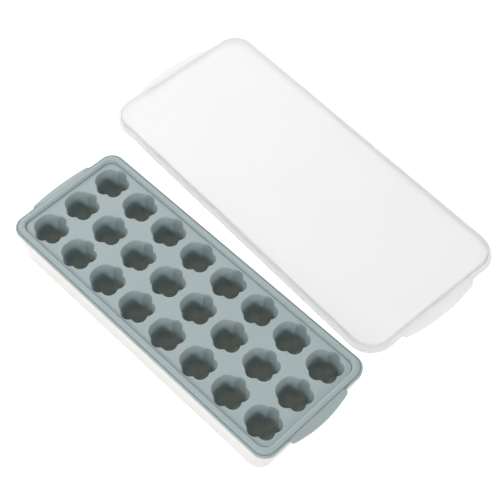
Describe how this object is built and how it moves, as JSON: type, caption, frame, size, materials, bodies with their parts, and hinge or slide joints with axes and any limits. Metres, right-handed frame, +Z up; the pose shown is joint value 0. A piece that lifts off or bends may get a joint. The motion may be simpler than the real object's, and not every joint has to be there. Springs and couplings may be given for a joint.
{
  "type": "silicone ice cube tray",
  "caption": "Silicone ice mould with rows of paw-shaped wells in hanging cups, resting on the rim of a shallow translucent tray, with its shallow lid lying loose beside it.",
  "frame": {"origin": "centre of the base tray's underside, at the height of the table", "axes": "+X along the row of eight wells, the way the toes of the paws point; +Y across the tray towards the lid; +Z up"},
  "size_m": [0.3192, 0.2679, 0.0319],
  "materials": {
    "grey_silicone": "matt",
    "translucent_polypropylene": "satin"
  },
  "bodies": {
    "root": {"ice_mould": "grey_silicone", "base_tray": "translucent_polypropylene", "lid": "translucent_polypropylene"}
  },
  "joints": []
}
